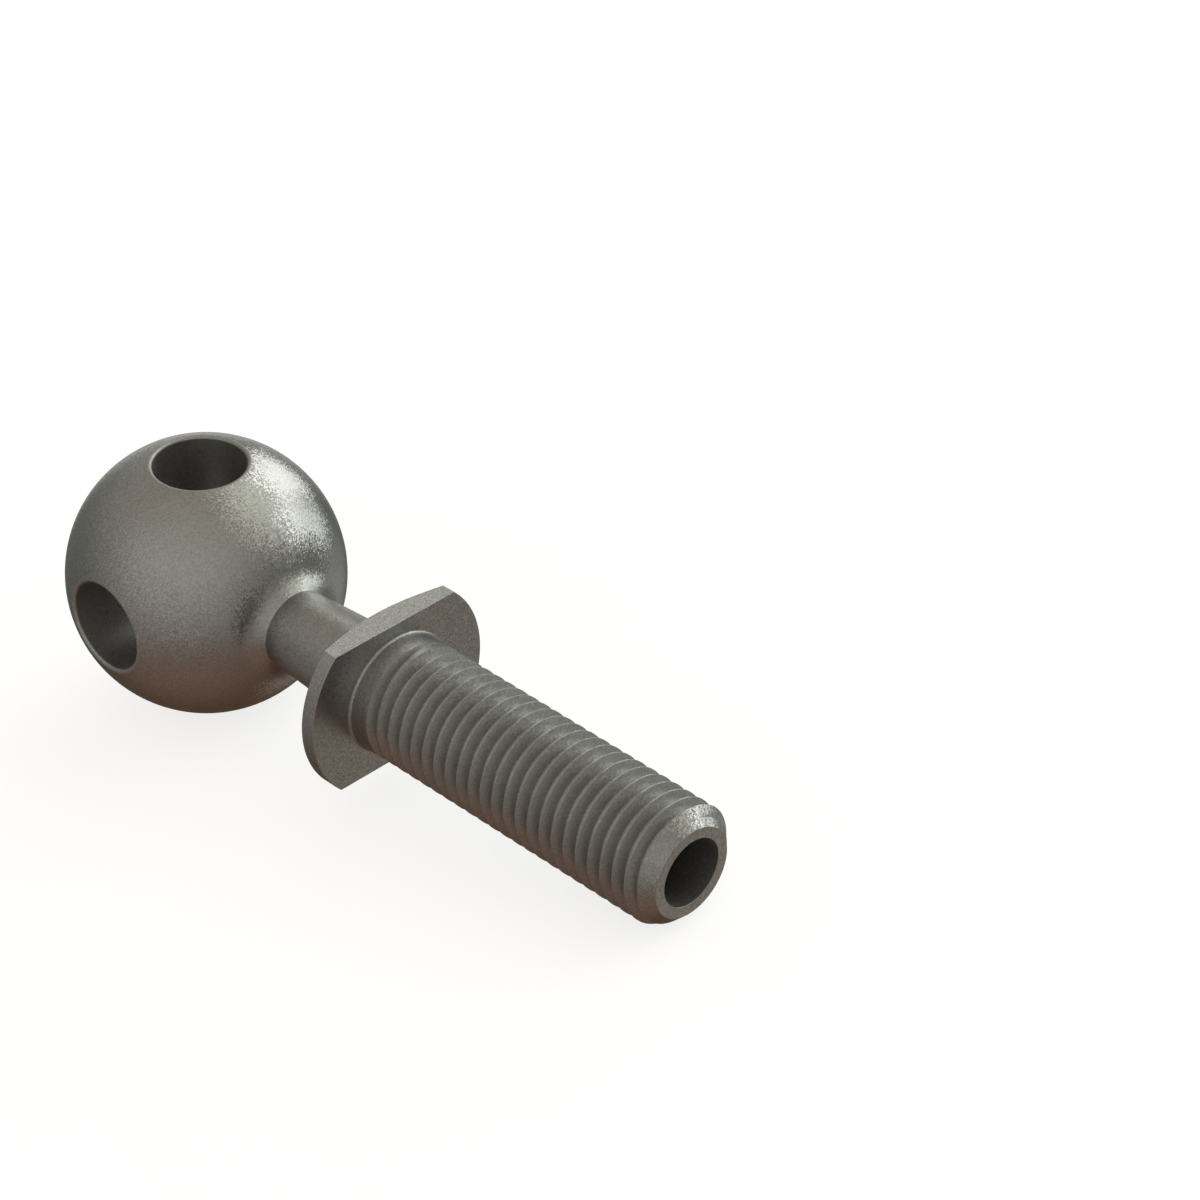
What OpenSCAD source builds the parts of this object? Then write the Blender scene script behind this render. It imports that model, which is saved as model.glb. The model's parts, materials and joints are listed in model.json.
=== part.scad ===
// Threaded ball stud, turned from one steel bar and lying at rest on a level surface.
// The stud is drawn along +X from the centre of its ball, then tilted until the lower
// hole's mouth and the thread's far end both touch the surface.

/* [Ball] */
// Diameter of the ball
ball_d = 18; // [16:0.5:22]
// Diameter of the two tommy-bar holes that cross in the ball
cross_hole_d = 6; // [4:0.5:7]
// Edge break at the mouths of the cross holes
hole_break = 0.2; // [0.1:0.05:0.4]

/* [Neck] */
// Diameter of the neck where it leaves the ball
neck_ball_d = 5.2; // [4.5:0.1:5.6]
// Diameter of the neck where it meets the flange
neck_flange_d = 6; // [5.6:0.1:7]
// Radius of the fillet between the ball and the neck
neck_fillet_r = 1; // [0.5:0.1:1.6]

/* [Flange] */
// Distance from the centre of the ball to the flange's seating face
seat_x = 18; // [17:0.5:24]
// Diameter of the flange
flange_d = 14; // [12:0.5:17]
// Thickness of the flange at its rim
rim_t = 1; // [0.6:0.1:2]
// Slope of the flange's ball side, from square to the axis
back_slope = 20; // [10:1:30]
// Width across the two wrench flats
across_flats = 10; // [9:0.5:11.5]
// Radius of the fillet between the seating face and the shank
seat_fillet_r = 0.2; // [0.1:0.05:0.4]

/* [Threaded shank] */
// Length of the shank from the seating face to its end
shank_l = 25; // [15:1:40]
// Nominal diameter of the thread
thread_d = 8; // [7:0.5:9]
// Pitch of the right-hand thread
thread_pitch = 1; // [0.75:0.05:1.25]
// Radial gap between the nominal diameter and the finished crests
crest_gap = 0.02; // [0.01:0.01:0.08]
// Length of the plain shank before the thread runs in
plain_l = 1.3; // [0.8:0.1:3]
// Chamfer at the end of the shank
end_chamfer = 1; // [0.7:0.1:1.3]
// Angle round the axis at which the crest reaches the end face
crest_end_angle = 40; // [0:5:355]
// Diameter of the bore in the end of the shank
end_bore_d = 4.5; // [3:0.1:4.8]
// Depth of the end bore down to its drill point
end_bore_l = 22; // [8:1:24]

/* [Hidden] */

$fn = 96;
overlap = 0.5;

ball_r = ball_d / 2;
end_x = seat_x + shank_l;

// Cross holes: the cone that breaks each edge meets the ball at the mouth circle.
cross_hole_r = cross_hole_d / 2;
mouth_r = cross_hole_r + hole_break;
mouth_z = sqrt(ball_r ^ 2 - mouth_r ^ 2);

// Flange: the cone on its ball side runs in from the rim to the neck.
flange_r = flange_d / 2;
rim_x = seat_x - rim_t;
neck_end_x = rim_x - (flange_r - neck_flange_d / 2) * tan(back_slope);

// Neck: a straight taper from the ball's surface to the flange, rounded into the ball.
neck_start_x = sqrt(ball_r ^ 2 - (neck_ball_d / 2) ^ 2);
neck_taper = atan((neck_flange_d - neck_ball_d) / 2 / (neck_end_x - neck_start_x));
// Gap between the tapered line and the centre of the ball, square to the line
neck_gap = neck_ball_d / 2 * cos(neck_taper) - neck_start_x * sin(neck_taper);
// Angle, at the ball's centre, between the taper and the centre of the fillet's arc
fillet_rise = asin((neck_gap + neck_fillet_r) / (ball_r + neck_fillet_r));
fillet_centre = (ball_r + neck_fillet_r) * [sin(neck_taper + fillet_rise), cos(neck_taper + fillet_rise)];
fillet_start = fillet_centre * ball_r / (ball_r + neck_fillet_r);
fillet_steps = 12;

// Thread: the standard 60 degree form, with a crest flat of an eighth of the pitch.
flank_angle = 30;
thread_depth = 0.6134 * thread_pitch;
crest_flat = thread_pitch / 8;
thread_r = thread_d / 2;
crest_r = thread_r - crest_gap;
root_r = thread_r - thread_depth;
// The ridge is rooted a little below the surface of its core.
ridge_root_r = root_r - thread_depth / 8;
thread_start_x = seat_x + plain_l;
// The plain shank falls to the root of the thread over one turn.
run_in_end_x = thread_start_x + thread_pitch;
end_r = thread_r - end_chamfer;
crest_end_x = end_x - (crest_r - end_r);
steps_per_turn = 24;

end_bore_r = end_bore_d / 2;
drill_point_angle = 118;
drill_point_l = end_bore_r / tan(drill_point_angle / 2);

// Rest: the smallest tilt that brings the shank's end or the flange's flat to the surface.
function touch_tilt(x, r) = atan((mouth_z - r) / (x - mouth_r));
rest_tilt = min(touch_tilt(crest_end_x, crest_r), touch_tilt(seat_x, across_flats / 2));
rest_lift = mouth_z * cos(rest_tilt) + mouth_r * sin(rest_tilt);
rest_mid_x = (end_x * cos(rest_tilt) + end_r * sin(rest_tilt) - ball_r) / 2;

// Points of an arc, given as [radius, place along the axis]
function arc(centre, r, from, to, steps) = [
    for (i = [0:steps])
        let (a = from + (to - from) * i / steps)
            centre + r * [cos(a), sin(a)]
];

// Half the width of the thread's ridge at a given radius
function ridge_half(r) = crest_flat / 2 + (thread_r - r) * tan(flank_angle);

// One point of the ridge, at a turn angle, to one side of its middle
function ridge_point(angle, r, side) = [
    end_x + thread_pitch * (angle - crest_end_angle) / 360 + side * ridge_half(r),
    r * cos(angle),
    r * sin(angle)
];

// Turns a closed outline of [radius, place along the axis] points about the stud's axis.
module turned(points) {
    rotate([0, 90, 0])
        rotate_extrude()
            polygon(points);
}

// Cylinder with broken edges, drawn along Z through the centre of the ball
module cross_hole() {
    cylinder(h = ball_d + overlap, r = cross_hole_r, center = true);
    for (turn = [0, 180])
        rotate([turn, 0, 0])
            translate([0, 0, mouth_z - hole_break])
                cylinder(h = hole_break + overlap, r1 = cross_hole_r, r2 = mouth_r + overlap);
}

// Tapered neck with the concave fillet that blends it into the ball
module neck() {
    turned(concat(
        [[0, fillet_start[1] - overlap], fillet_start - [overlap, overlap]],
        arc(fillet_centre, neck_fillet_r, 270 - neck_taper - fillet_rise, 180 - neck_taper, fillet_steps),
        [[neck_flange_d / 2, neck_end_x], [neck_flange_d / 2, seat_x - rim_t / 2], [0, seat_x - rim_t / 2]]
    ));
}

// Round collar with a conical back and two wrench flats
module flange() {
    intersection() {
        turned([[0, neck_end_x], [neck_flange_d / 2, neck_end_x], [flange_r, rim_x], [flange_r, seat_x], [0, seat_x]]);
        translate([neck_end_x - overlap, -flange_d, -across_flats / 2])
            cube([seat_x - neck_end_x + 2 * overlap, 2 * flange_d, across_flats]);
    }
}

// Plain shank and the core that carries the thread's ridge
module shank_core() {
    turned(concat(
        [[0, seat_x - rim_t / 2], [thread_r + seat_fillet_r, seat_x - rim_t / 2], [thread_r + seat_fillet_r, seat_x]],
        arc([thread_r + seat_fillet_r, seat_x + seat_fillet_r], seat_fillet_r, 270, 180, fillet_steps / 2),
        [[thread_r, thread_start_x], [root_r, run_in_end_x], [root_r, end_x + overlap], [0, end_x + overlap]]
    ));
}

// Helical ridge of the thread, swept in flat facets from the plain shank to past the end
module thread_ridge() {
    turns_before_end = ceil((end_x - thread_start_x) / thread_pitch);
    first = -turns_before_end * steps_per_turn;
    last = steps_per_turn;
    count = last - first;
    section = [[ridge_root_r, -1], [crest_r, -1], [crest_r, 1], [ridge_root_r, 1]];
    corners = len(section);
    points = [
        for (i = [first:last])
            let (angle = crest_end_angle + 360 * i / steps_per_turn)
                for (corner = section)
                    ridge_point(angle, corner[0], corner[1])
    ];
    sides = [
        for (i = [0:count - 1])
            for (k = [0:corners - 1])
                let (
                    a = i * corners + k,
                    b = i * corners + (k + 1) % corners
                )
                each [[a, b, a + corners], [b, b + corners, a + corners]]
    ];
    first_cap = [for (k = [corners - 1:-1:0]) k];
    last_cap = [for (k = [0:corners - 1]) count * corners + k];
    polyhedron(points, concat([first_cap], sides, [last_cap]));
}

// Everything beyond the end face and outside the end chamfer
module end_trim() {
    outer_r = thread_r + end_chamfer;
    far_x = end_x + 2 * thread_pitch + overlap;
    turned([
        [0, end_x],
        [end_r, end_x],
        [outer_r, end_x - (outer_r - end_r)],
        [outer_r, far_x],
        [0, far_x]
    ]);
}

// Blind bore in the end of the shank, with its drill point
module end_bore() {
    turned([
        [0, end_x - end_bore_l - drill_point_l],
        [end_bore_r, end_x - end_bore_l],
        [end_bore_r, end_x + overlap],
        [0, end_x + overlap]
    ]);
}

module ball_stud() {
    color("#6b6862")
        translate([-rest_mid_x, 0, rest_lift])
            rotate([0, rest_tilt, 0])
                difference() {
                    union() {
                        sphere(ball_r);
                        neck();
                        flange();
                        shank_core();
                        thread_ridge();
                    }
                    cross_hole();
                    rotate([90, 0, 0])
                        cross_hole();
                    end_trim();
                    end_bore();
                }
}

ball_stud();
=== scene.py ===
"""Threaded ball stud, turned from one steel bar, drilled, threaded and blasted to a dark satin grey."""

import json
import math

import bmesh
import bpy
from bpy.props import FloatProperty, FloatVectorProperty, IntProperty, PointerProperty
from mathutils import Matrix, Quaternion, Vector


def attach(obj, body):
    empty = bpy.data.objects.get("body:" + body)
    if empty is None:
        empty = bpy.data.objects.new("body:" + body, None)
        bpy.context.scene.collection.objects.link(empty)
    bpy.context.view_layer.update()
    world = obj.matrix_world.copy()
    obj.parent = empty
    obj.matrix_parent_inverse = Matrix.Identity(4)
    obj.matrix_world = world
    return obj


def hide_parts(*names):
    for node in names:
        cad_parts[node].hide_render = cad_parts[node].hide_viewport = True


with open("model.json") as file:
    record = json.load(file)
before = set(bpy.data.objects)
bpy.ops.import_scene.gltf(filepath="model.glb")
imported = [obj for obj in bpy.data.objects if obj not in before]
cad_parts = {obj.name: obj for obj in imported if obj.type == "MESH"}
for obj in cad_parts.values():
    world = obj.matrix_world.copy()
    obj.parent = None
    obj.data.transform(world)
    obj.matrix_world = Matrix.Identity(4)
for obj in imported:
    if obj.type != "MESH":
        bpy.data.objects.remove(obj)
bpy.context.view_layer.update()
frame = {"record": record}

bl_info = {
    "name": "Threaded ball stud",
    "version": (1, 0, 0),
    "blender": (4, 5, 0),
    "location": "3D View > Sidebar > Ball stud",
    "description": "Machines a blasted steel ball stud and lays it on a pale studio floor",
    "category": "Object",
}

NODE = "ball_stud"
MM = 0.001
# Face attribute that says how far a face was kept from the blast, from 0 to 1
SHELTERED = "sheltered"
# Facets in a full turn of the blank and of the drill
BLANK_STEPS = 192
DRILL_STEPS = 128
# Facets of the arcs in their outlines
BALL_STEPS = 96
FILLET_STEPS = 16
EDGE_STEPS = 8
CORNER_STEPS = 4
# Edges where the surface turns by more than this stay sharp
SHARP_ANGLE = math.radians(30)

MOUNTS = {mount["name"]: mount for mount in frame["record"]["mounts"]}


def mount_place(name):
    """Where a mount is, in the part's frame."""
    return Vector(MOUNTS[name]["pos_m"])


def mount_way(name):
    """The direction of a mount's axis."""
    return Vector(MOUNTS[name]["axis"]).normalized()


def mount_size(name, key):
    """One dimension of a mount, in metres."""
    return MOUNTS[name]["dims"][key] * MM


BALL_CENTRE = mount_place("ball")
STUD_WAY = mount_way("thread")
UP_WAY = mount_way("cross_hole_upright")

# The stud is machined along +X from the centre of its ball, with one cross hole upright.
# This matrix lays it in its place at rest, where the shank's end dips to the floor.
STUD_TO_REST = Matrix.Translation(BALL_CENTRE) @ Matrix(
    (STUD_WAY, UP_WAY.cross(STUD_WAY), UP_WAY)
).transposed().to_4x4()


def along_stud(name):
    """How far a mount lies along the stud from the centre of the ball."""
    return (mount_place(name) - BALL_CENTRE).dot(STUD_WAY)


def above_axis(name):
    """How far a mount lies above the stud's axis."""
    return (mount_place(name) - BALL_CENTRE).dot(UP_WAY)


def length(name, description, default):
    """A size in metres."""
    return FloatProperty(
        name=name, description=description, default=default, min=0.0, unit="LENGTH", precision=5
    )


def angle(name, description, degrees):
    """An angle, given in degrees."""
    return FloatProperty(name=name, description=description, default=math.radians(degrees), subtype="ANGLE")


def share(name, description, default):
    """A part of a whole, from 0 to 1."""
    return FloatProperty(
        name=name, description=description, default=default, min=0.0, max=1.0, subtype="FACTOR"
    )


def linear(hex_colour):
    """Turns an sRGB hex colour into linear red, green and blue."""
    channels = [int(hex_colour[i : i + 2], 16) / 255 for i in (1, 3, 5)]
    return tuple(c / 12.92 if c <= 0.04045 else ((c + 0.055) / 1.055) ** 2.4 for c in channels)


def colour(name, description, hex_colour):
    """A colour, given as sRGB hex."""
    return FloatVectorProperty(
        name=name, description=description, default=linear(hex_colour), subtype="COLOR", min=0.0, max=1.0
    )


class BallStudSizes(bpy.types.PropertyGroup):
    """Sizes that the stud is turned, drilled and threaded to."""

    ball_r: length("Ball radius", "Radius of the ball", 9 * MM)
    hole_r: length("Hole radius", "Radius of the two cross holes", mount_size("cross_hole_upright", "r_mm"))
    hole_edge: length("Hole edge", "Rounding at the mouths of the cross holes", 0.2 * MM)
    neck_ball_r: length("Neck at ball", "Radius of the neck where it leaves the ball", 2.6 * MM)
    neck_flange_r: length("Neck at flange", "Radius of the neck where it meets the flange", 3 * MM)
    neck_fillet: length("Neck fillet", "Radius of the fillet between the ball and the neck", 0.05 * MM)
    soft_r: length(
        "Soft root", "Radius round the axis within which the ball's shading leans towards the neck", 4.1 * MM
    )
    soft_lean: share("Soft lean", "How far the ball's shading leans at the neck itself", 0.55)
    seat_x: length(
        "Seat", "Distance from the ball's centre to the flange's seating face", along_stud("seat_face")
    )
    flange_r: length("Flange radius", "Radius of the flange", 7 * MM)
    rim_t: length("Rim thickness", "Thickness of the flange at its rim", 1 * MM)
    back_slope: angle("Back slope", "Slope of the flange's ball side, from square to the axis", 20)
    half_flats: length(
        "Half across flats", "Distance from the axis to a wrench flat", above_axis("wrench_flat_upper")
    )
    corner_edge: length("Corner edge", "Rounding of the turned corners", 0.04 * MM)
    seat_fillet: length(
        "Seat fillet", "Radius of the fillet between the seating face and the shank", 0.2 * MM
    )
    thread_r: length("Thread radius", "Nominal radius of the thread", mount_size("shank", "r_mm"))
    end_x: length("End", "Distance from the ball's centre to the end of the shank", along_stud("thread"))
    end_chamfer: length("End chamfer", "Chamfer at the end of the shank", 1 * MM)
    bore_r: length(
        "Bore radius", "Radius of the bore in the end of the shank", mount_size("end_bore", "r_mm")
    )
    bore_l: length(
        "Bore depth", "Depth of the end bore down to its drill point", mount_size("end_bore", "length_mm")
    )
    drill_point: angle("Drill point", "Angle of the end bore's drill point", 118)


class BallStudThread(bpy.types.PropertyGroup):
    """The thread and the tool that cuts it."""

    pitch: length("Pitch", "Distance from crest to crest", 1 * MM)
    depth: length("Depth", "Depth of the groove below the nominal radius", 0.6 * MM)
    flank: angle("Flank", "Lean of the groove's flanks, from square to the axis", 32.5)
    crest_flat: length("Crest flat", "Width left between two turns of the groove", 0.09 * MM)
    run_in_x: length("Run-in", "Distance from the ball's centre to where the tool enters", 19.53 * MM)
    run_in_turn: angle("Run-in angle", "Angle round the axis at which the tool enters", 30)
    run_in_turns: FloatProperty(
        name="Run-in turns", description="Turns that the tool takes to full depth", default=0.35, min=0.0
    )
    run_in_start: share("Run-in start", "Part of the full cut that the tool makes where it enters", 0.08)
    crest_gap: length("Crest gap", "Gap from the nominal radius to the finished crests", 0.02 * MM)
    tool_lift: length("Tool lift", "How far the tool stands out of the blank", 0.06 * MM)
    shelter: share("Shelter", "How far the groove was kept from the blast", 0.5)
    steps: IntProperty(name="Steps", description="Facets of the cut in one turn", default=120)


class BallStudFinish(bpy.types.PropertyGroup):
    """Colours and grain of the blasted steel."""

    light: colour("Light marks", "Colour of the lightest marks", "#b4b4b4")
    dark: colour("Dark marks", "Colour of the darkest marks", "#9c9c9c")
    grain: length("Grain", "Width of the marks that the blasting leaves", 0.08 * MM)
    tilt: FloatProperty(
        name="Grain tilt", description="How far a mark leans the light, as a slope", default=0.2, min=0.0
    )
    roughness: share("Roughness", "Roughness within a mark", 0.2)
    drilled_roughness: share("Hole roughness", "Roughness of the drilled walls", 0.5)
    turned_shelter: share(
        "Turned shelter", "How far the neck, flange and shank were kept from the blast", 0.4
    )
    milled_shelter: share("Milled shelter", "How far the wrench flats were kept from the blast", 0.15)


class BallStudStudio(bpy.types.PropertyGroup):
    """Camera, light and floor."""

    azimuth: angle("Azimuth", "Turn of the camera round the stud, from square on to its side", 44.82)
    elevation: angle("Elevation", "Height of the camera above the stud's axis", 35.17)
    roll: angle("Roll", "Roll of the camera", 0.15)
    distance: length("Distance", "Distance from the camera to the point it looks at", 250 * MM)
    lens: FloatProperty(
        name="Lens", description="Focal length, in millimetres on a 36 mm sensor", default=121.65, min=1.0
    )
    aim: FloatVectorProperty(
        name="Aim",
        description="Middle of the picture, from the ball's centre, along, across and above the stud",
        default=(23.91 * MM, 11.63 * MM, 4.0 * MM),
        subtype="TRANSLATION",
    )
    floor_size: length("Floor", "Width of the floor", 3.0)
    floor_colour: colour("Floor colour", "Colour of the floor's paper", "#aaaaaa")
    floor_glow: share("Floor glow", "Light that shines through the floor's paper", 0.78)


def add_node(tree, kind, inputs=None, **settings):
    """Adds a node with its settings; inputs gives each socket a value or another node's output."""
    node = tree.nodes.new(kind)
    for key, value in settings.items():
        setattr(node, key, value)
    for key, value in (inputs or {}).items():
        if isinstance(value, bpy.types.NodeSocket):
            tree.links.new(value, node.inputs[key])
        else:
            node.inputs[key].default_value = value
    return node


def arc(centre, radius, start, end, steps):
    """Points of an arc in the turning plane, as (place along the axis, radius) pairs."""
    turns = [start + (end - start) * i / steps for i in range(steps + 1)]
    return [(centre[0] + radius * math.cos(a), centre[1] + radius * math.sin(a)) for a in turns]


def rounded(before, corner, after, radius, steps=CORNER_STEPS):
    """Points that round one corner of an outline."""
    here = Vector(corner)
    to_before = (Vector(before) - here).normalized()
    to_after = (Vector(after) - here).normalized()
    half = to_before.angle(to_after) / 2
    middle = here + (to_before + to_after).normalized() * radius / math.sin(half)
    first = here + to_before * radius / math.tan(half) - middle
    turn = first.angle_signed(here + to_after * radius / math.tan(half) - middle)
    return [tuple(middle + Matrix.Rotation(-turn * i / steps, 2) @ first) for i in range(steps + 1)]


def turned_mesh(name, stretches, steps):
    """Turns an open outline, which starts and ends on the X axis, into a closed body.

    The outline comes in stretches: how far each is kept from the blast, and its points.
    """
    outline = [(*point, shelter) for shelter, points in stretches for point in points]
    body = bmesh.new()
    mark = body.faces.layers.float.new(SHELTERED)
    rings = []
    for x, r, _ in outline:
        turns = [2 * math.pi * i / steps for i in range(steps)] if r > 0.0 else [0.0]
        rings.append([body.verts.new((x, r * math.cos(a), r * math.sin(a))) for a in turns])
    for ring, following, (_, _, shelter) in zip(rings, rings[1:], outline[1:]):
        for i in range(steps):
            corners = [ring[i % len(ring)], ring[(i + 1) % len(ring)]]
            corners += [following[(i + 1) % len(following)], following[i % len(following)]]
            made = body.faces.new(list(dict.fromkeys(corners)))
            made[mark] = shelter
    bmesh.ops.recalc_face_normals(body, faces=body.faces)
    mesh = bpy.data.meshes.new(name)
    body.to_mesh(mesh)
    body.free()
    return mesh


def root_share(s, r):
    """How near a place on the ball is to the neck's root, from 0 to 1, by its distance from the axis."""
    return min(max((s.soft_r - r) / (s.soft_r - s.neck_ball_r), 0.0), 1.0)


def blank_outline(s, t, turned_shelter):
    """Outline of the turned blank, from the ball's pole to the drill point of the end bore.

    The blast is aimed at the ball and at the chamfer on the shank's end, and reaches the other faces
    less. On the ball it fades towards the neck's root.
    """
    rim_x = s.seat_x - s.rim_t
    neck_end = (rim_x - (s.flange_r - s.neck_flange_r) * math.tan(s.back_slope), s.neck_flange_r)
    neck_start = (math.sqrt(s.ball_r**2 - s.neck_ball_r**2), s.neck_ball_r)
    taper = math.atan2(neck_end[1] - neck_start[1], neck_end[0] - neck_start[0])
    gap = neck_start[1] * math.cos(taper) - neck_start[0] * math.sin(taper)
    rise = taper + math.asin((gap + s.neck_fillet) / (s.ball_r + s.neck_fillet))
    reach = s.ball_r + s.neck_fillet
    fillet_centre = (reach * math.cos(rise), reach * math.sin(rise))

    ball = arc((0, 0), s.ball_r, math.pi, rise, BALL_STEPS)
    fillet = arc(fillet_centre, s.neck_fillet, math.pi + rise, 1.5 * math.pi + taper, FILLET_STEPS)

    crest_r = s.thread_r - t.crest_gap
    rim_back = (rim_x, s.flange_r)
    rim_front = (s.seat_x, s.flange_r)
    seat_corner = (s.seat_x, s.thread_r)
    chamfer_start = (s.end_x - s.end_chamfer, crest_r)
    end_rim = (s.end_x, crest_r - s.end_chamfer)
    bore_mouth = (s.end_x, s.bore_r)
    bore_end = (s.end_x - s.bore_l, s.bore_r)
    point = (bore_end[0] - s.bore_r / math.tan(s.drill_point / 2), 0.0)

    root_stretches = [(turned_shelter * root_share(s, r), [(x, r)]) for x, r in ball[1:] if x > 0]
    ball_stretch = [(-s.ball_r, 0.0), *ball[1 : -len(root_stretches)]]
    flange_stretch = [
        *rounded(fillet[-1], neck_end, rim_back, s.corner_edge),
        *rounded(neck_end, rim_back, rim_front, s.corner_edge),
        *rounded(rim_back, rim_front, seat_corner, s.corner_edge),
        *rounded(rim_front, seat_corner, (s.end_x, s.thread_r), s.seat_fillet, EDGE_STEPS),
    ]
    shank_stretch = [(t.run_in_x - t.pitch / 2, s.thread_r), (t.run_in_x, crest_r), chamfer_start]
    end_stretch = rounded(end_rim, bore_mouth, bore_end, s.corner_edge)
    return [
        (0.0, ball_stretch),
        *root_stretches,
        (turned_shelter, fillet[1:] + flange_stretch + shank_stretch),
        (0.0, [end_rim]),
        (turned_shelter, end_stretch),
        (1.0, [bore_end, point]),
    ]


def hole_tool_outline(s):
    """Outline of a drill for the cross holes, flared at both ends to round the holes' mouths."""
    edge_r = s.hole_r + s.hole_edge
    edge_x = math.sqrt((s.ball_r - s.hole_edge) ** 2 - edge_r**2)
    lean = math.atan2(edge_r, edge_x)
    mouth = arc((edge_x, edge_r), s.hole_edge, -math.pi / 2, lean, EDGE_STEPS)
    outside = (s.ball_r + s.hole_edge, mouth[-1][1])
    half = [*mouth, outside, (outside[0], 0.0)]
    return [(-x, r) for x, r in reversed(half)] + half


def blasted_steel(finish):
    """Blasted steel: a satin metal whose fine marks each lean the light their own way.

    The real marks are finer than a pixel, so they are drawn as coarse as they need to show.
    Faces that were kept from the blast have fainter marks and a duller sheen, and the drilled walls
    have no marks that lean the light.
    """
    material = bpy.data.materials.new("blasted_steel")
    material.use_nodes = True
    tree = material.node_tree
    tree.nodes.clear()
    place = add_node(tree, "ShaderNodeTexCoord").outputs["Object"]
    marks = add_node(tree, "ShaderNodeTexVoronoi", {"Vector": place, "Scale": 1 / finish.grain})
    sheltered = add_node(tree, "ShaderNodeAttribute", attribute_name=SHELTERED).outputs["Fac"]
    slope = add_node(tree, "ShaderNodeMapRange", {"Value": sheltered, "To Min": finish.tilt, "To Max": 0.0})
    sheen = add_node(
        tree,
        "ShaderNodeMapRange",
        {"Value": sheltered, "To Min": finish.roughness, "To Max": finish.drilled_roughness},
    )
    either_way = add_node(
        tree, "ShaderNodeVectorMath", {0: marks.outputs["Color"], 1: (0.5, 0.5, 0.5)}, operation="SUBTRACT"
    )
    lean = add_node(
        tree,
        "ShaderNodeVectorMath",
        {0: either_way.outputs["Vector"], "Scale": slope.outputs["Result"]},
        operation="SCALE",
    )
    flat = add_node(tree, "ShaderNodeNewGeometry").outputs["Normal"]
    leaning = add_node(tree, "ShaderNodeVectorMath", {0: flat, 1: lean.outputs["Vector"]}, operation="ADD")
    facing = add_node(tree, "ShaderNodeVectorMath", {0: leaning.outputs["Vector"]}, operation="NORMALIZE")
    shade = add_node(tree, "ShaderNodeSeparateColor", {"Color": marks.outputs["Color"]}).outputs["Green"]
    tint = add_node(
        tree,
        "ShaderNodeMix",
        {"Factor": shade, "A": (*finish.dark, 1.0), "B": (*finish.light, 1.0)},
        data_type="RGBA",
    )
    shader = add_node(
        tree,
        "ShaderNodeBsdfPrincipled",
        {
            "Base Color": tint.outputs["Result"],
            "Metallic": 1.0,
            "Roughness": sheen.outputs["Result"],
            "Normal": facing.outputs["Vector"],
        },
    )
    add_node(tree, "ShaderNodeOutputMaterial", {"Surface": shader.outputs["BSDF"]})
    return material


def add_object(name, data):
    """A new object in the scene, at the origin."""
    made = bpy.data.objects.new(name, data)
    bpy.context.scene.collection.objects.link(made)
    return made


class BALLSTUD_OT_turn(bpy.types.Operator):
    """Turn the blank and the drill for its cross holes"""

    bl_idname = "ball_stud.turn"
    bl_label = "Turn the blank"

    def execute(self, context):
        sizes = context.scene.ball_stud_sizes
        thread = context.scene.ball_stud_thread
        turned_shelter = context.scene.ball_stud_finish.turned_shelter
        blank = blank_outline(sizes, thread, turned_shelter)
        add_object("stud_blank", turned_mesh("stud_blank", blank, BLANK_STEPS))
        drill = [(1.0, hole_tool_outline(sizes))]
        add_object("hole_tool", turned_mesh("hole_tool", drill, DRILL_STEPS))
        return {"FINISHED"}


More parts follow.
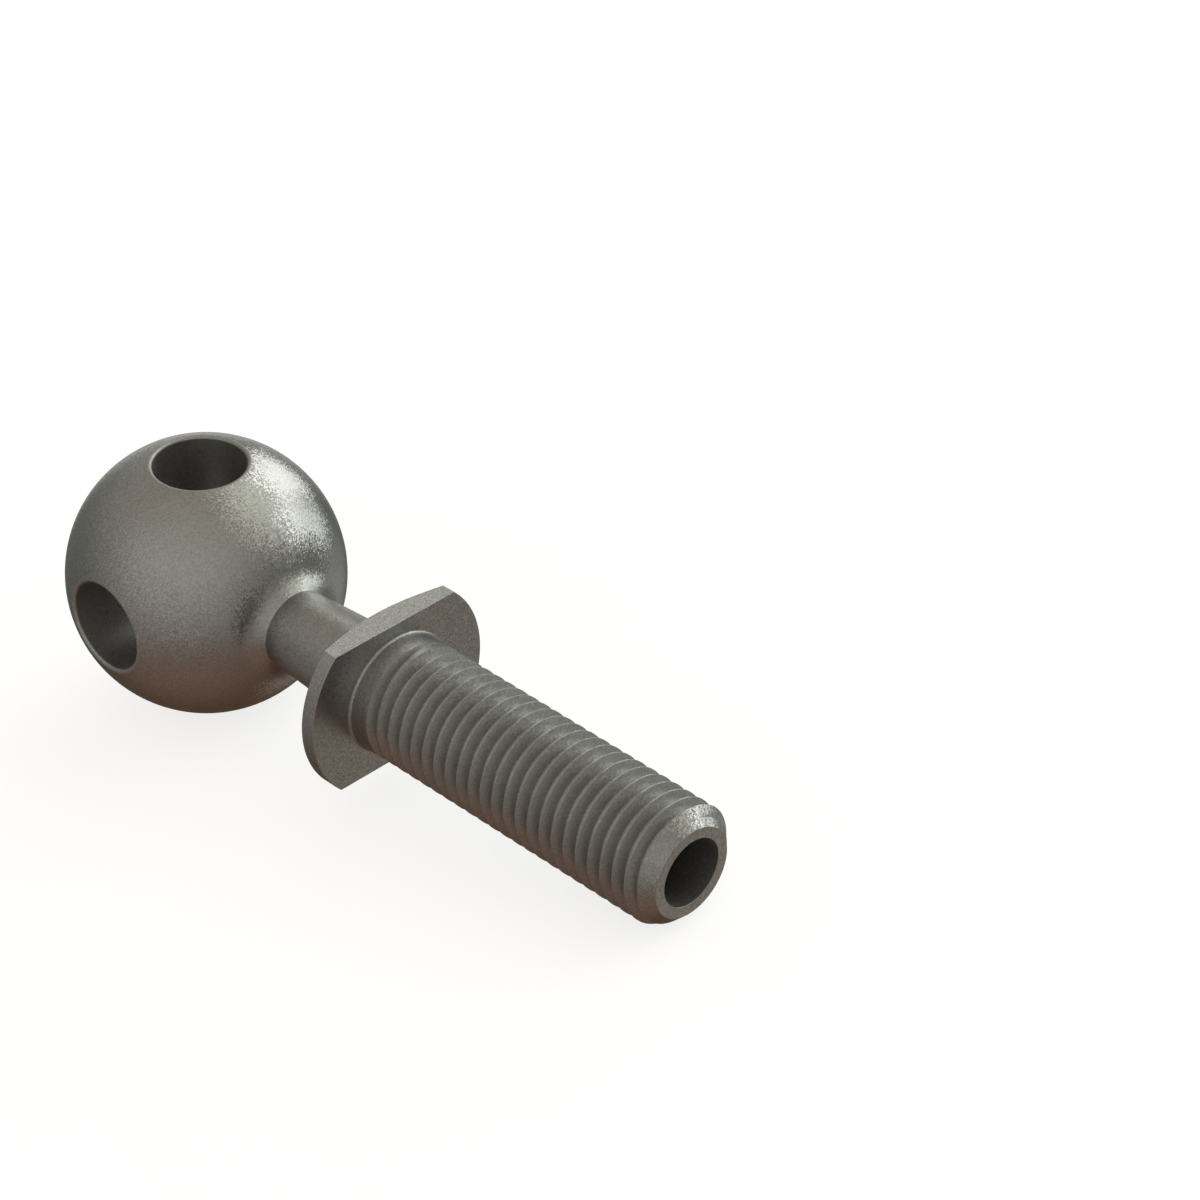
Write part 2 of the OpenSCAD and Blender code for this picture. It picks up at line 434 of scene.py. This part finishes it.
def machining_tree():
    """Geometry nodes that mill the flats, drill the cross holes and cut the thread along its helix."""
    tree = bpy.data.node_groups.new("Machining", "GeometryNodeTree")
    face = tree.interface
    face.new_socket("Geometry", in_out="OUTPUT", socket_type="NodeSocketGeometry")
    for name, kind in (
        ("Geometry", "Geometry"),
        ("Hole tool", "Object"),
        ("Half across flats", "Float"),
        ("Flange middle", "Float"),
        ("Mill length", "Float"),
        ("Mill width", "Float"),
        ("Mill shelter", "Float"),
        ("Helix radius", "Float"),
        ("Pitch", "Float"),
        ("Turns", "Float"),
        ("Steps", "Int"),
        ("Run-in place", "Float"),
        ("Run-in angle", "Float"),
        ("Run-in length", "Float"),
        ("Run-in start", "Float"),
        ("Groove depth", "Float"),
        ("Groove mouth", "Float"),
        ("Groove root", "Float"),
        ("Groove shelter", "Float"),
        ("Steel", "Material"),
    ):
        face.new_socket(name, in_out="INPUT", socket_type=f"NodeSocket{kind}")
    given = add_node(tree, "NodeGroupInput").outputs

    drill = add_node(
        tree, "GeometryNodeObjectInfo", {"Object": given["Hole tool"]}, transform_space="ORIGINAL"
    ).outputs["Geometry"]
    quarter = math.pi / 2
    upright = add_node(tree, "GeometryNodeTransform", {"Geometry": drill, "Rotation": (0, quarter, 0)})
    level = add_node(tree, "GeometryNodeTransform", {"Geometry": drill, "Rotation": (0, 0, quarter)})

    mill_size = add_node(
        tree,
        "ShaderNodeCombineXYZ",
        {"X": given["Mill length"], "Y": given["Mill width"], "Z": given["Mill width"]},
    )
    mill_half = add_node(tree, "ShaderNodeMath", {0: given["Mill width"], 1: 0.5}, operation="MULTIPLY")
    mill_z = add_node(
        tree, "ShaderNodeMath", {0: mill_half.outputs[0], 1: given["Half across flats"]}, operation="ADD"
    )
    mill_place = add_node(tree, "ShaderNodeCombineXYZ", {"X": given["Flange middle"], "Z": mill_z.outputs[0]})
    mill = add_node(tree, "GeometryNodeMeshCube", {"Size": mill_size.outputs[0]})
    mill_marked = add_node(
        tree,
        "GeometryNodeStoreNamedAttribute",
        {"Geometry": mill.outputs["Mesh"], "Name": SHELTERED, "Value": given["Mill shelter"]},
        data_type="FLOAT",
        domain="FACE",
    )
    top_mill = add_node(
        tree,
        "GeometryNodeTransform",
        {"Geometry": mill_marked.outputs["Geometry"], "Translation": mill_place.outputs[0]},
    )
    low_mill = add_node(
        tree,
        "GeometryNodeTransform",
        {"Geometry": top_mill.outputs["Geometry"], "Rotation": (math.pi, 0, 0)},
    )

    helix_height = add_node(
        tree, "ShaderNodeMath", {0: given["Turns"], 1: given["Pitch"]}, operation="MULTIPLY"
    )
    helix = add_node(
        tree,
        "GeometryNodeCurveSpiral",
        {
            "Resolution": given["Steps"],
            "Rotations": given["Turns"],
            "Start Radius": given["Helix radius"],
            "End Radius": given["Helix radius"],
            "Height": helix_height.outputs[0],
            "Reverse": True,
        },
    )
    level_helix = add_node(tree, "GeometryNodeSetCurveNormal", {"Curve": helix.outputs["Curve"]}, mode="Z_UP")
    tool = add_node(
        tree,
        "GeometryNodeCurvePrimitiveQuadrilateral",
        {
            "Height": given["Groove depth"],
            "Bottom Width": given["Groove root"],
            "Top Width": given["Groove mouth"],
            "Offset": 0.0,
        },
        mode="TRAPEZOID",
    )
    tool_drop = add_node(tree, "ShaderNodeMath", {0: given["Groove depth"], 1: -0.5}, operation="MULTIPLY")
    tool_place = add_node(tree, "ShaderNodeCombineXYZ", {"Y": tool_drop.outputs[0]})
    tool_at_mouth = add_node(
        tree,
        "GeometryNodeTransform",
        {"Geometry": tool.outputs["Curve"], "Translation": tool_place.outputs[0]},
    )
    tool_upright = add_node(
        tree,
        "GeometryNodeTransform",
        {"Geometry": tool_at_mouth.outputs["Geometry"], "Rotation": (0, 0, -quarter)},
    )
    feed = add_node(
        tree,
        "ShaderNodeMapRange",
        {
            "Value": add_node(tree, "GeometryNodeSplineParameter").outputs["Length"],
            "From Max": given["Run-in length"],
            "To Min": given["Run-in start"],
        },
        interpolation_type="SMOOTHSTEP",
    )
    groove = add_node(
        tree,
        "GeometryNodeCurveToMesh",
        {
            "Curve": level_helix.outputs["Curve"],
            "Profile Curve": tool_upright.outputs["Geometry"],
            "Scale": feed.outputs["Result"],
            "Fill Caps": True,
        },
    )
    groove_turn = add_node(tree, "ShaderNodeCombineXYZ", {"Z": given["Run-in angle"]})
    groove_turned = add_node(
        tree,
        "GeometryNodeTransform",
        {"Geometry": groove.outputs["Mesh"], "Rotation": groove_turn.outputs[0]},
    )
    groove_place = add_node(tree, "ShaderNodeCombineXYZ", {"X": given["Run-in place"]})
    groove_laid = add_node(
        tree,
        "GeometryNodeTransform",
        {
            "Geometry": groove_turned.outputs["Geometry"],
            "Rotation": (quarter, 0, quarter),
            "Translation": groove_place.outputs[0],
        },
    )
    groove_marked = add_node(
        tree,
        "GeometryNodeStoreNamedAttribute",
        {"Geometry": groove_laid.outputs["Geometry"], "Name": SHELTERED, "Value": given["Groove shelter"]},
        data_type="FLOAT",
        domain="FACE",
    )
    cut = add_node(
        tree,
        "GeometryNodeMeshBoolean",
        {"Mesh 1": given["Geometry"]},
        operation="DIFFERENCE",
        solver="MANIFOLD",
    )
    for cutter in (upright, level, top_mill, low_mill, groove_marked):
        tree.links.new(cutter.outputs["Geometry"], cut.inputs["Mesh 2"])
    whole = add_node(tree, "GeometryNodeRealizeInstances", {"Geometry": cut.outputs["Mesh"]})
    dressed = add_node(
        tree, "GeometryNodeSetMaterial", {"Geometry": whole.outputs["Geometry"], "Material": given["Steel"]}
    )
    add_node(tree, "NodeGroupOutput", {"Geometry": dressed.outputs["Geometry"]})
    return tree


def soften_root(mesh, s):
    """Leans the ball's shading towards the neck round the neck's root, so that the corner looks soft."""
    leant = [normal.vector.copy() for normal in mesh.corner_normals]
    # Faces this close to the ball's radius count as its surface.
    skin = s.hole_edge / 2
    for face in mesh.polygons:
        on_ball = abs(face.center.length - s.ball_r) < skin
        if not on_ball or face.center.x < 0 or Vector(face.center.yz).length > s.soft_r:
            continue
        for corner in face.loop_indices:
            place = mesh.vertices[mesh.loops[corner].vertex_index].co
            out = Vector((0, *place.yz))
            lean = s.soft_lean * root_share(s, out.length)
            leant[corner] = place.normalized().slerp(out.normalized(), lean)
    mesh.normals_split_custom_set(leant)


def plain_mesh(carrier, name):
    """The carrier's mesh with its modifiers applied."""
    evaluated = carrier.evaluated_get(bpy.context.evaluated_depsgraph_get())
    mesh = bpy.data.meshes.new_from_object(evaluated)
    mesh.name = name
    return mesh


def flatten_shading(stud):
    """Weighs the shading by the faces' sizes, so that flat faces look flat up to their rounded edges.

    The weighting passes over faces as small as these, so it is done with millimetres as units.
    """
    wide = stud.data
    wide.transform(Matrix.Scale(1 / MM, 4))
    weighting = stud.modifiers.new("Flat faces", "WEIGHTED_NORMAL")
    weighting.keep_sharp = True
    stud.data = plain_mesh(stud, wide.name)
    stud.modifiers.remove(weighting)
    bpy.data.meshes.remove(wide)
    stud.data.transform(Matrix.Scale(MM, 4))


class BALLSTUD_OT_machine(bpy.types.Operator):
    """Mill the flats, drill the cross holes, cut the thread and lay the stud at rest"""

    bl_idname = "ball_stud.machine"
    bl_label = "Machine and finish"

    def execute(self, context):
        s = context.scene.ball_stud_sizes
        t = context.scene.ball_stud_thread
        finish = context.scene.ball_stud_finish
        blank = bpy.data.objects["stud_blank"]
        hole_tool = bpy.data.objects["hole_tool"]

        depth = t.depth + t.tool_lift
        flare = 2 * math.tan(t.flank)
        mouth = t.pitch - t.crest_flat + t.tool_lift * flare
        turns = (s.end_x + t.pitch - t.run_in_x) / t.pitch
        helix_r = s.thread_r + t.tool_lift
        # The mill is wider than the flange, and short enough to miss the ball.
        sizes = {
            "Hole tool": hole_tool,
            "Half across flats": s.half_flats,
            "Flange middle": s.seat_x - s.rim_t,
            "Mill length": 4 * s.rim_t,
            "Mill width": 3 * s.flange_r,
            "Mill shelter": finish.milled_shelter,
            "Helix radius": helix_r,
            "Pitch": t.pitch,
            "Turns": turns,
            "Steps": t.steps,
            "Run-in place": t.run_in_x,
            "Run-in angle": t.run_in_turn,
            "Run-in length": t.run_in_turns * 2 * math.pi * helix_r,
            "Run-in start": t.run_in_start,
            "Groove depth": depth,
            "Groove mouth": mouth,
            "Groove root": mouth - depth * flare,
            "Groove shelter": t.shelter,
            "Steel": blasted_steel(finish),
        }
        machining = blank.modifiers.new("Machining", "NODES")
        machining.node_group = machining_tree()
        for socket in machining.node_group.interface.items_tree:
            if socket.in_out == "INPUT" and socket.name in sizes:
                machining[socket.identifier] = sizes[socket.name]
        mesh = plain_mesh(blank, "threaded_ball_stud")
        if len(mesh.polygons) <= len(blank.data.polygons):
            raise RuntimeError("the stud was not machined")
        blank.modifiers.remove(machining)
        bpy.data.objects.remove(blank)
        bpy.data.objects.remove(hole_tool)

        mesh.shade_smooth()
        mesh.set_sharp_from_angle(angle=SHARP_ANGLE)
        stud = add_object("threaded_ball_stud", mesh)
        flatten_shading(stud)
        soften_root(stud.data, s)
        stud.data.transform(STUD_TO_REST)
        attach(stud, "root")
        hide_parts(NODE)
        return {"FINISHED"}


def toward(heading, height):
    """The direction at a heading from +Y towards +X and a height above the floor, in degrees."""
    a, e = math.radians(heading), math.radians(height)
    return Vector((math.sin(a) * math.cos(e), math.cos(a) * math.cos(e), math.sin(e)))


# The studio's surround, as the steel mirrors it: colours from straight below to straight above
SURROUND = (
    (-90, (0.10, 0.05, 0.025)),
    (-55, (0.11, 0.06, 0.035)),
    (-40, (0.09, 0.08, 0.06)),
    (-25, (0.15, 0.155, 0.145)),
    (0, (0.22, 0.23, 0.20)),
    (35, (0.44, 0.41, 0.36)),
    (90, (0.45, 0.41, 0.34)),
)
# Soft glows in the surround: heading, height and spread in degrees, and colour
GLOWS = (
    (150, 35, 70, (0.12, 0.135, 0.13)),
    (160, -30, 95, (0.18, 0.13, 0.11)),
    (28, 40, 40, (0.52, 0.56, 0.48)),
    (-41, 40, 16, (0.55, 0.57, 0.53)),
    (5, 56, 26, (0.18, 0.19, 0.17)),
    (5, -42, 36, (0.28, 0.28, 0.27)),
    (40, -34, 38, (0.13, 0.115, 0.09)),
    (-52, -12, 22, (0.38, 0.37, 0.36)),
    (-60, 12, 26, (0.10, 0.10, 0.09)),
    (6, 0, 14, (1.45, 1.50, 1.40)),
    (22, 18, 16, (1.55, 1.60, 1.55)),
    (-14, 25, 23, (0.33, 0.32, 0.32)),
)


def surround():
    """The studio's surround; the camera itself sees plain white behind the floor."""
    world = bpy.data.worlds.new("studio_surround")
    world.use_nodes = True
    tree = world.node_tree
    tree.nodes.clear()
    way = add_node(tree, "ShaderNodeTexCoord").outputs["Generated"]
    rise = add_node(tree, "ShaderNodeSeparateXYZ", {"Vector": way}).outputs["Z"]
    level = add_node(tree, "ShaderNodeMapRange", {"Value": rise, "From Min": -1.0, "From Max": 1.0})
    ramp = add_node(tree, "ShaderNodeValToRGB", {"Fac": level.outputs["Result"]})
    stops = ramp.color_ramp.elements
    while len(stops) < len(SURROUND):
        stops.new(0.5)
    for stop, (height, shade) in zip(stops, SURROUND):
        stop.position = (1 + math.sin(math.radians(height))) / 2
        stop.color = (*shade, 1.0)
    light = ramp.outputs["Color"]
    for heading, height, spread, shade in GLOWS:
        nearness = add_node(
            tree, "ShaderNodeVectorMath", {0: way, 1: toward(heading, height)}, operation="DOT_PRODUCT"
        )
        glow = add_node(
            tree,
            "ShaderNodeMapRange",
            {"Value": nearness.outputs["Value"], "From Min": math.cos(math.radians(spread)), "From Max": 1.0},
            interpolation_type="SMOOTHSTEP",
        )
        light = add_node(
            tree,
            "ShaderNodeVectorMath",
            {0: shade, 1: glow.outputs["Result"], 2: light},
            operation="MULTIPLY_ADD",
        ).outputs["Vector"]
    seen = add_node(tree, "ShaderNodeLightPath").outputs["Is Camera Ray"]
    shown = add_node(
        tree, "ShaderNodeMix", {"Factor": seen, "A": light, "B": (1.0, 1.0, 1.0, 1.0)}, data_type="RGBA"
    )
    sky = add_node(tree, "ShaderNodeBackground", {"Color": shown.outputs["Result"]})
    add_node(tree, "ShaderNodeOutputWorld", {"Surface": sky.outputs["Background"]})
    return world


def soft_lamp(name, heading, height, lean, distance, width, tall, power, shade):
    """A rectangular soft lamp that faces the stud; heading, height and sideways lean are in degrees."""
    lamp = bpy.data.lights.new(name, "AREA")
    lamp.shape = "RECTANGLE"
    lamp.size = width
    lamp.size_y = tall
    lamp.energy = power
    lamp.color = shade
    made = add_object(name, lamp)
    way = toward(heading, height)
    made.location = BALL_CENTRE + way * distance
    made.rotation_mode = "QUATERNION"
    made.rotation_quaternion = way.to_track_quat("Z", "Y") @ Quaternion((0, 0, 1), math.radians(lean))


def camera(studio):
    """The camera, set in the stud's own frame and tilted with it."""
    lens = bpy.data.cameras.new("camera")
    lens.lens = studio.lens
    lens.sensor_width = 36.0
    lens.clip_start = 0.01
    made = add_object("camera", lens)
    a, e = studio.azimuth, studio.elevation
    back = Vector((math.sin(a) * math.cos(e), -math.cos(a) * math.cos(e), math.sin(e)))
    pose = back.to_track_quat("Z", "Y").to_matrix().to_4x4() @ Matrix.Rotation(studio.roll, 4, "Z")
    pose.translation = Vector(studio.aim) + back * studio.distance
    made.matrix_world = STUD_TO_REST @ pose
    bpy.context.scene.camera = made


def matt_paper(studio):
    """Matt paper, lit from below so that it stays pale, with no shine of its own."""
    material = bpy.data.materials.new("matt_paper")
    material.use_nodes = True
    tree = material.node_tree
    tree.nodes.clear()
    shader = add_node(
        tree,
        "ShaderNodeBsdfPrincipled",
        {
            "Base Color": (*studio.floor_colour, 1.0),
            "Roughness": 0.9,
            "Specular IOR Level": 0.0,
            "Emission Color": (*linear("#ffffff"), 1.0),
            "Emission Strength": studio.floor_glow,
        },
    )
    add_node(tree, "ShaderNodeOutputMaterial", {"Surface": shader.outputs["BSDF"]})
    return material


class BALLSTUD_OT_studio(bpy.types.Operator):
    """Set the floor, the light and the camera"""

    bl_idname = "ball_stud.studio"
    bl_label = "Set the studio"

    def execute(self, context):
        studio = context.scene.ball_stud_studio
        scene = context.scene
        half = studio.floor_size / 2
        mesh = bpy.data.meshes.new("floor")
        corners = [(-half, -half, 0), (half, -half, 0), (half, half, 0), (-half, half, 0)]
        mesh.from_pydata(corners, [], [tuple(range(len(corners)))])
        mesh.materials.append(matt_paper(studio))
        floor = add_object("floor", mesh)
        floor.visible_glossy = False
        floor.visible_shadow = False

        scene.world = surround()
        soft_lamp(
            "key_lamp",
            heading=-12,
            height=19,
            lean=40,
            distance=2.0,
            width=0.85,
            tall=1.5,
            power=6.1,
            shade=(0.98, 1.0, 0.96),
        )
        camera(studio)
        scene.view_settings.view_transform = "Standard"
        return {"FINISHED"}


class BALLSTUD_PT_panel(bpy.types.Panel):
    """Sizes and steps of the ball stud"""

    bl_idname = "BALLSTUD_PT_panel"
    bl_label = "Ball stud"
    bl_space_type = "VIEW_3D"
    bl_region_type = "UI"
    bl_category = "Ball stud"

    def draw(self, context):
        for group, title in GROUPS.items():
            box = self.layout.box()
            box.label(text=title)
            settings = getattr(context.scene, group)
            for name in settings.__annotations__:
                box.prop(settings, name)
        for step in STEPS:
            self.layout.operator(step.bl_idname)


GROUPS = {
    "ball_stud_sizes": "Sizes",
    "ball_stud_thread": "Thread",
    "ball_stud_finish": "Finish",
    "ball_stud_studio": "Studio",
}
STEPS = (BALLSTUD_OT_turn, BALLSTUD_OT_machine, BALLSTUD_OT_studio)
SETTINGS = (BallStudSizes, BallStudThread, BallStudFinish, BallStudStudio)
CLASSES = (*SETTINGS, *STEPS, BALLSTUD_PT_panel)


def register():
    """Registers the classes and hangs the settings on the scene."""
    for made in CLASSES:
        bpy.utils.register_class(made)
    for group, settings in zip(GROUPS, SETTINGS):
        setattr(bpy.types.Scene, group, PointerProperty(type=settings))


def unregister():
    """Takes the settings off the scene and unregisters the classes."""
    for group in GROUPS:
        delattr(bpy.types.Scene, group)
    for made in reversed(CLASSES):
        bpy.utils.unregister_class(made)


def main():
    """Builds the stud and its studio."""
    register()
    bpy.ops.ball_stud.turn()
    bpy.ops.ball_stud.machine()
    bpy.ops.ball_stud.studio()


if __name__ == "__main__":
    main()
